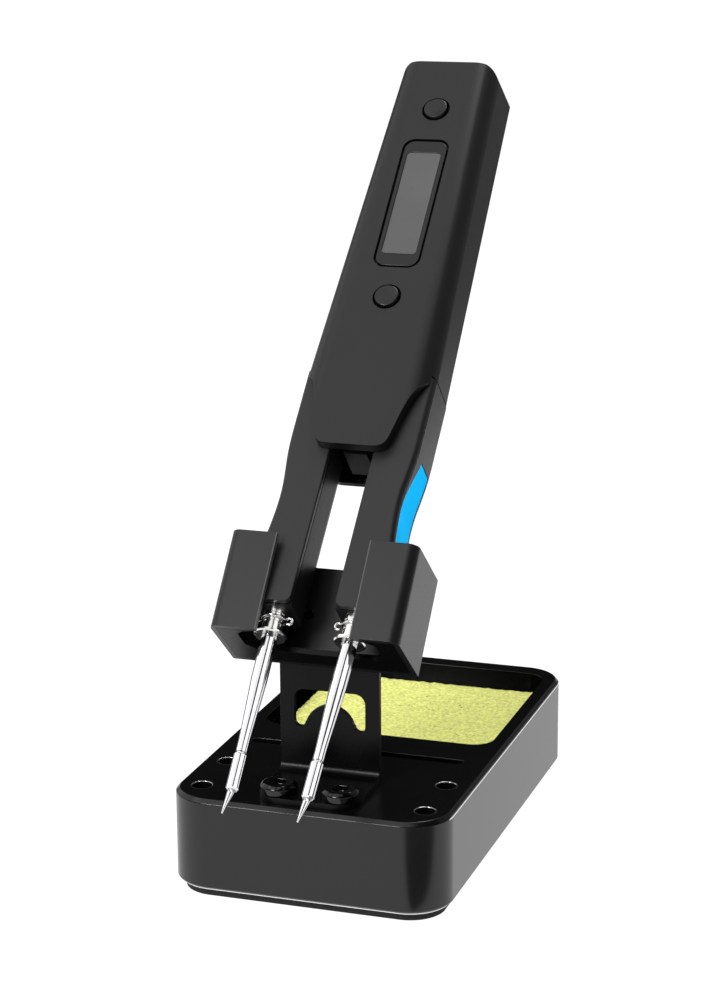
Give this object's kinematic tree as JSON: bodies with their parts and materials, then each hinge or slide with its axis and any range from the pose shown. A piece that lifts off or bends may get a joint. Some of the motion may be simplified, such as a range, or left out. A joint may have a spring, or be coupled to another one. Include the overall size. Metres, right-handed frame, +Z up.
{
  "type": "soldering tweezers",
  "caption": "Heated soldering tweezers with hinged arms, tip cartridges, display and keys, docked in a channel on a weighted stand with a cleaning sponge.",
  "frame": {"origin": "middle of the stand's underside, on the bench", "axes": "+Z up, -Y towards the side the tips point to, +X to the right seen from there"},
  "size_m": [0.07, 0.161, 0.1903],
  "materials": {
    "base_metal": "satin anodised dark grey",
    "foot_rubber": "matt black",
    "sponge_cellulose": "porous yellow green",
    "sheet_black": "satin black coat",
    "screw_black": "black oxide",
    "shell_black": "fine moulded grain",
    "key_black": "smooth satin",
    "window_smoke": "smoked clear window",
    "panel_grey": "dark screen",
    "board_green": "solder mask",
    "inner_steel": "plain",
    "grip_blue": "soft matt",
    "sleeve_cream": "heat resistant moulding",
    "tip_chrome": "polished"
  },
  "bodies": {
    "stand": {"base_shell": "base_metal", "base_foot": "foot_rubber", "bracket": "sheet_black", "bracket_screws": "screw_black", "holder": "sheet_black", "holder_floor": "sheet_black", "holder_screws": "screw_black"},
    "sponge_pad": {"sponge": "sponge_cellulose"},
    "handle": {"front_cover": "shell_black", "rear_shell": "shell_black", "display_window": "window_smoke", "display_panel": "panel_grey", "main_board": "board_green", "tact_switches": "inner_steel", "power_socket": "inner_steel", "arm_pins": "inner_steel", "spring_block": "shell_black", "return_springs": "inner_steel", "shell_screws": "screw_black"},
    "left_arm": {"left_arm_front": "shell_black", "left_arm_rear": "shell_black", "left_grip": "grip_blue", "left_socket": "sleeve_cream", "left_collar": "tip_chrome", "left_clip": "tip_chrome"},
    "right_arm": {"right_arm_front": "shell_black", "right_arm_rear": "shell_black", "right_grip": "grip_blue", "right_socket": "sleeve_cream", "right_collar": "tip_chrome", "right_clip": "tip_chrome"},
    "left_cartridge": {"left_tip": "tip_chrome"},
    "right_cartridge": {"right_tip": "tip_chrome"},
    "upper_key": {"upper_button": "key_black"},
    "lower_key": {"lower_button": "key_black"}
  },
  "joints": [
    {"name": "tool_lift", "type": "slide", "parent": "stand", "child": "handle", "axis": [0, 0.7071, 0.7071], "range_m": [0, 0.09]},
    {"name": "sponge_lift", "type": "slide", "parent": "stand", "child": "sponge_pad", "axis": [0, 0, 1], "range_m": [0, 0.02]},
    {"name": "left_arm_squeeze", "type": "hinge", "parent": "handle", "child": "left_arm", "pos_m": [-0.009, 0.00507, 0.12191], "axis": [0, -0.7071, 0.7071], "range_deg": [0, 3.6], "stiffness_Nm_per_rad": 0.5, "springref_deg": -2.86, "deforming": ["return_springs"]},
    {"name": "right_arm_squeeze", "type": "hinge", "parent": "handle", "child": "right_arm", "pos_m": [0.009, 0.00507, 0.12191], "axis": [0, 0.7071, -0.7071], "range_deg": [0, 3.6], "stiffness_Nm_per_rad": 0.5, "springref_deg": -2.86, "deforming": ["return_springs"]},
    {"name": "left_tip_pull", "type": "slide", "parent": "left_arm", "child": "left_cartridge", "axis": [-0.0192, 0.707, 0.707], "range_m": [-0.034, 0]},
    {"name": "right_tip_pull", "type": "slide", "parent": "right_arm", "child": "right_cartridge", "axis": [0.0192, 0.707, 0.707], "range_m": [-0.034, 0]},
    {"name": "upper_button_press", "type": "slide", "parent": "handle", "child": "upper_key", "axis": [0, 0.7071, -0.7071], "range_m": [0, 0.0005], "stiffness_N_per_m": 1500},
    {"name": "lower_button_press", "type": "slide", "parent": "handle", "child": "lower_key", "axis": [0, 0.7071, -0.7071], "range_m": [0, 0.0005], "stiffness_N_per_m": 1500}
  ],
  "couplings": [
    {"joint": "right_arm_squeeze", "follows": "left_arm_squeeze", "ratio": 1}
  ]
}
